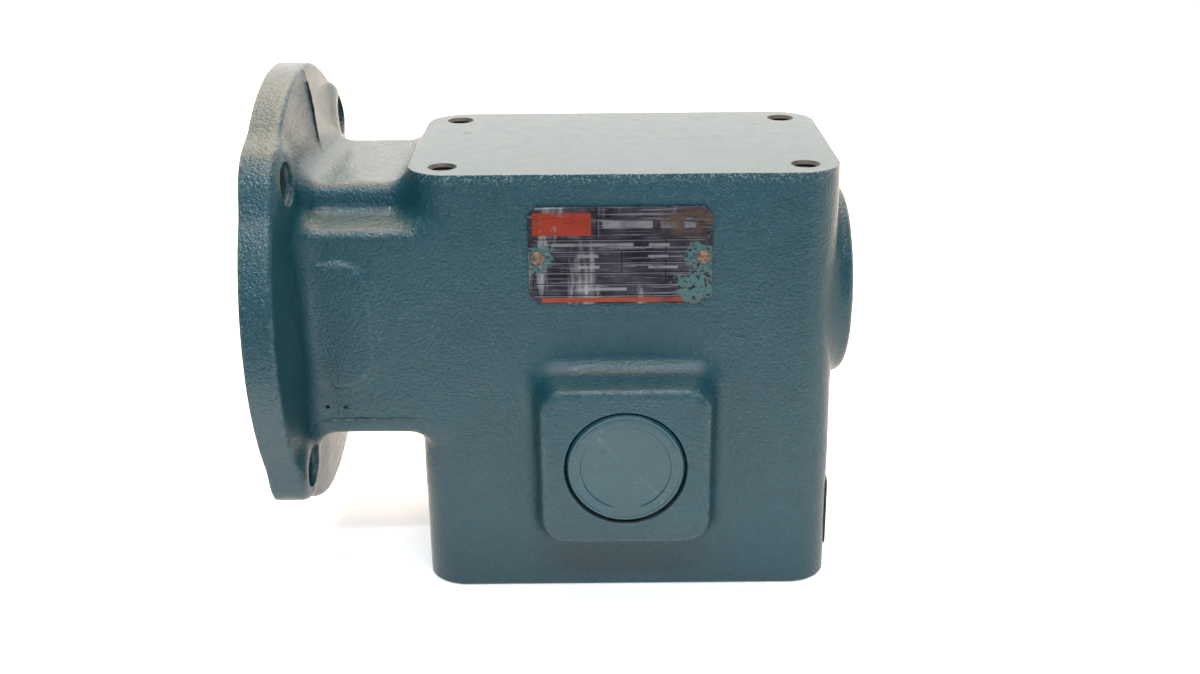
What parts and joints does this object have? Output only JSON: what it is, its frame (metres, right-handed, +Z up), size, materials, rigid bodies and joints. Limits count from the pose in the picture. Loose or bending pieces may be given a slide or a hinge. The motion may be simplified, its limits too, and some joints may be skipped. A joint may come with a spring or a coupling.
{
  "type": "right angle worm gear reducer",
  "caption": "Right-angle worm gear speed reducer with a cast housing, a round motor flange with a hollow input quill, and a keyed output shaft.",
  "frame": {"origin": "on the base face, in the housing's middle plane, straight below the output axis", "axes": "+Z up, square to the base; -X towards the motor along the worm axis; +Y along the output shaft, out of the housing"},
  "size_m": [0.2095, 0.2015, 0.1893],
  "materials": {
    "cast_paint": "semi-gloss blue-green enamel over sand-cast iron",
    "cap_paint": "semi-gloss blue-green enamel over a smooth pressed cap",
    "gasket": "matte fibre",
    "seal_rubber": "matte nitrile rubber",
    "spring_steel": "blued spring steel",
    "plate_metal": "scratched dark plate",
    "screw_steel": "dull steel, partly painted over",
    "black_tag": "matte black",
    "shaft_steel": "ground steel",
    "bearing_steel": "polished bearing steel",
    "hub_iron": "machined iron",
    "bronze": "machined gear bronze",
    "bolt_steel": "painted over with the housing"
  },
  "bodies": {
    "housing_body": {"housing": "cast_paint", "output_carrier": "cast_paint", "carrier_gasket": "gasket", "carrier_bolt_1": "bolt_steel", "carrier_bolt_2": "bolt_steel", "carrier_bolt_3": "bolt_steel", "carrier_bolt_4": "bolt_steel", "carrier_bolt_5": "bolt_steel", "carrier_bolt_6": "bolt_steel", "bearing_end_cap": "cap_paint", "rear_bore_plug": "cap_paint", "input_oil_seal": "seal_rubber", "output_oil_seal": "seal_rubber", "input_retaining_ring": "spring_steel", "rear_retaining_ring": "spring_steel", "input_bearing_outer_ring": "bearing_steel", "rear_bearing_outer_ring": "bearing_steel", "near_bearing_cup": "bearing_steel", "far_bearing_cup": "bearing_steel", "nameplate": "plate_metal", "nameplate_screw_left": "screw_steel", "nameplate_screw_right": "screw_steel", "end_face_tag": "black_tag"},
    "worm_rotor": {"worm_shaft": "shaft_steel", "input_bearing_inner_ring": "bearing_steel", "rear_bearing_inner_ring": "bearing_steel", "shaft_retaining_ring": "spring_steel"},
    "output_rotor": {"output_shaft": "shaft_steel", "output_key": "shaft_steel", "gear_key": "shaft_steel", "worm_gear_hub": "hub_iron", "worm_gear_rim": "bronze", "near_bearing_cone": "bearing_steel", "far_bearing_cone": "bearing_steel", "near_spacer": "shaft_steel", "far_spacer": "shaft_steel"},
    "input_bearing_cage": {"input_bearing_caged_balls": "bearing_steel"},
    "rear_bearing_cage": {"rear_bearing_caged_balls": "bearing_steel"},
    "near_bearing_cage": {"near_bearing_caged_rollers": "bearing_steel"},
    "far_bearing_cage": {"far_bearing_caged_rollers": "bearing_steel"}
  },
  "joints": [
    {"name": "worm_spin", "type": "hinge", "parent": "housing_body", "child": "worm_rotor", "pos_m": [0, 0, 0.1068], "axis": [1, 0, 0], "continuous": true},
    {"name": "output_spin", "type": "hinge", "parent": "housing_body", "child": "output_rotor", "pos_m": [0, 0, 0.056], "axis": [0, 1, 0], "continuous": true},
    {"name": "input_cage_spin", "type": "hinge", "parent": "housing_body", "child": "input_bearing_cage", "pos_m": [-0.1013, 0, 0.1068], "axis": [1, 0, 0], "continuous": true},
    {"name": "rear_cage_spin", "type": "hinge", "parent": "housing_body", "child": "rear_bearing_cage", "pos_m": [0.0612, 0, 0.1068], "axis": [1, 0, 0], "continuous": true},
    {"name": "near_cage_spin", "type": "hinge", "parent": "housing_body", "child": "near_bearing_cage", "pos_m": [0, -0.0458, 0.056], "axis": [0, 1, 0], "continuous": true},
    {"name": "far_cage_spin", "type": "hinge", "parent": "housing_body", "child": "far_bearing_cage", "pos_m": [0, 0.0415, 0.056], "axis": [0, 1, 0], "continuous": true}
  ],
  "couplings": [
    {"joint": "output_spin", "follows": "worm_spin", "ratio": -0.055556},
    {"joint": "input_cage_spin", "follows": "worm_spin", "ratio": 0.39652},
    {"joint": "rear_cage_spin", "follows": "worm_spin", "ratio": 0.36782},
    {"joint": "near_cage_spin", "follows": "worm_spin", "ratio": -0.022921},
    {"joint": "far_cage_spin", "follows": "worm_spin", "ratio": -0.023799}
  ]
}
